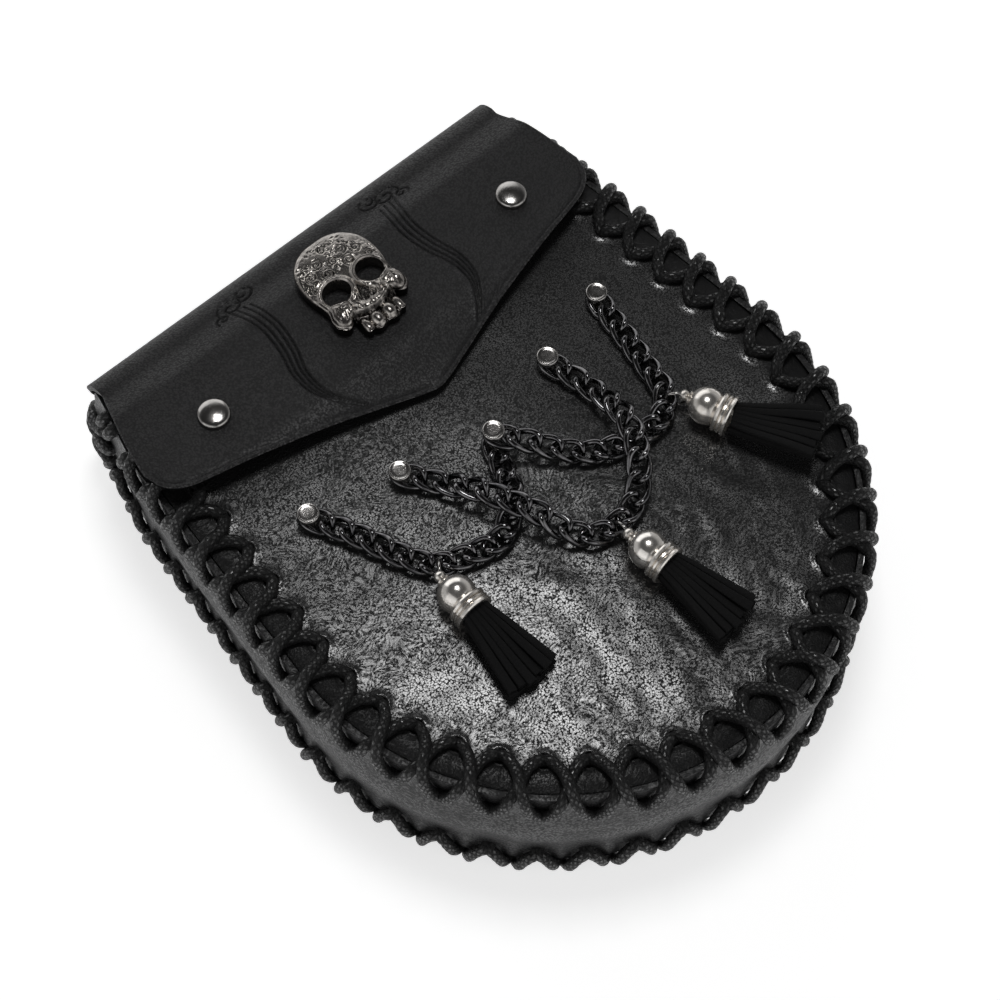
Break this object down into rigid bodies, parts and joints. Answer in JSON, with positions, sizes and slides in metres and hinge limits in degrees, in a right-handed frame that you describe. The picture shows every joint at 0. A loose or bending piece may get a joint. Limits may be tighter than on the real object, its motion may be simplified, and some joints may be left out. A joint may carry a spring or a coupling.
{
  "type": "leather belt pouch",
  "caption": "Round-bottomed leather belt pouch with a fold-over flap, cross laced edges, a skull badge, chain swags and tassels.",
  "frame": {"origin": "centre of the pouch's outline, on the surface it lies on", "axes": "+Z out of the front panel, +Y from the round bottom to the fold of the flap, +X to the right as seen from the front"},
  "size_m": [0.1953, 0.2269, 0.0677],
  "materials": {
    "front_leather": "pebbled semi-gloss",
    "flap_leather": "smooth matte, tooled",
    "lacing_cord": "waxed braid",
    "nickel": "polished",
    "gunmetal": "polished black nickel",
    "pewter": "cast, darkened in the hollows",
    "suede": "suede"
  },
  "bodies": {
    "root": {"back_and_flap": "flap_leather", "back_lacing": "lacing_cord", "belt_loop": "front_leather", "chain_left_link_01": "gunmetal", "chain_left_link_02": "gunmetal", "chain_left_link_03": "gunmetal", "chain_left_link_04": "gunmetal", "chain_left_link_05": "gunmetal", "chain_left_link_06": "gunmetal", "chain_left_link_07": "gunmetal", "chain_left_link_08": "gunmetal", "chain_left_link_09": "gunmetal", "chain_left_stretch_1": "gunmetal", "chain_left_stretch_2": "gunmetal", "chain_middle_link_01": "gunmetal", "chain_middle_link_02": "gunmetal", "chain_middle_link_03": "gunmetal", "chain_middle_link_04": "gunmetal", "chain_middle_link_05": "gunmetal", "chain_middle_link_06": "gunmetal", "chain_middle_link_07": "gunmetal", "chain_middle_link_08": "gunmetal", "chain_middle_link_09": "gunmetal", "chain_middle_link_10": "gunmetal", "chain_middle_link_11": "gunmetal", "chain_middle_link_12": "gunmetal", "chain_middle_stretch_1": "gunmetal", "chain_middle_stretch_2": "gunmetal", "chain_right_link_01": "gunmetal", "chain_right_link_02": "gunmetal", "chain_right_link_03": "gunmetal", "chain_right_link_04": "gunmetal", "chain_right_link_05": "gunmetal", "chain_right_link_06": "gunmetal", "chain_right_link_07": "gunmetal", "chain_right_link_08": "gunmetal", "chain_right_link_09": "gunmetal", "chain_right_stretch_1": "gunmetal", "chain_right_stretch_2": "gunmetal", "chain_rivet_1": "nickel", "chain_rivet_2": "nickel", "chain_rivet_3": "nickel", "chain_rivet_4": "nickel", "chain_rivet_5": "nickel", "front_lacing": "lacing_cord", "front_panel": "front_leather", "gusset": "front_leather", "jump_ring_left": "nickel", "jump_ring_middle": "nickel", "jump_ring_right": "nickel", "skull_badge": "pewter", "snap_cap_left": "nickel", "snap_cap_right": "nickel", "tassel_cap_left": "gunmetal", "tassel_cap_middle": "gunmetal", "tassel_cap_right": "gunmetal", "tassel_skirt_left": "suede", "tassel_skirt_middle": "suede", "tassel_skirt_right": "suede"}
  },
  "joints": []
}
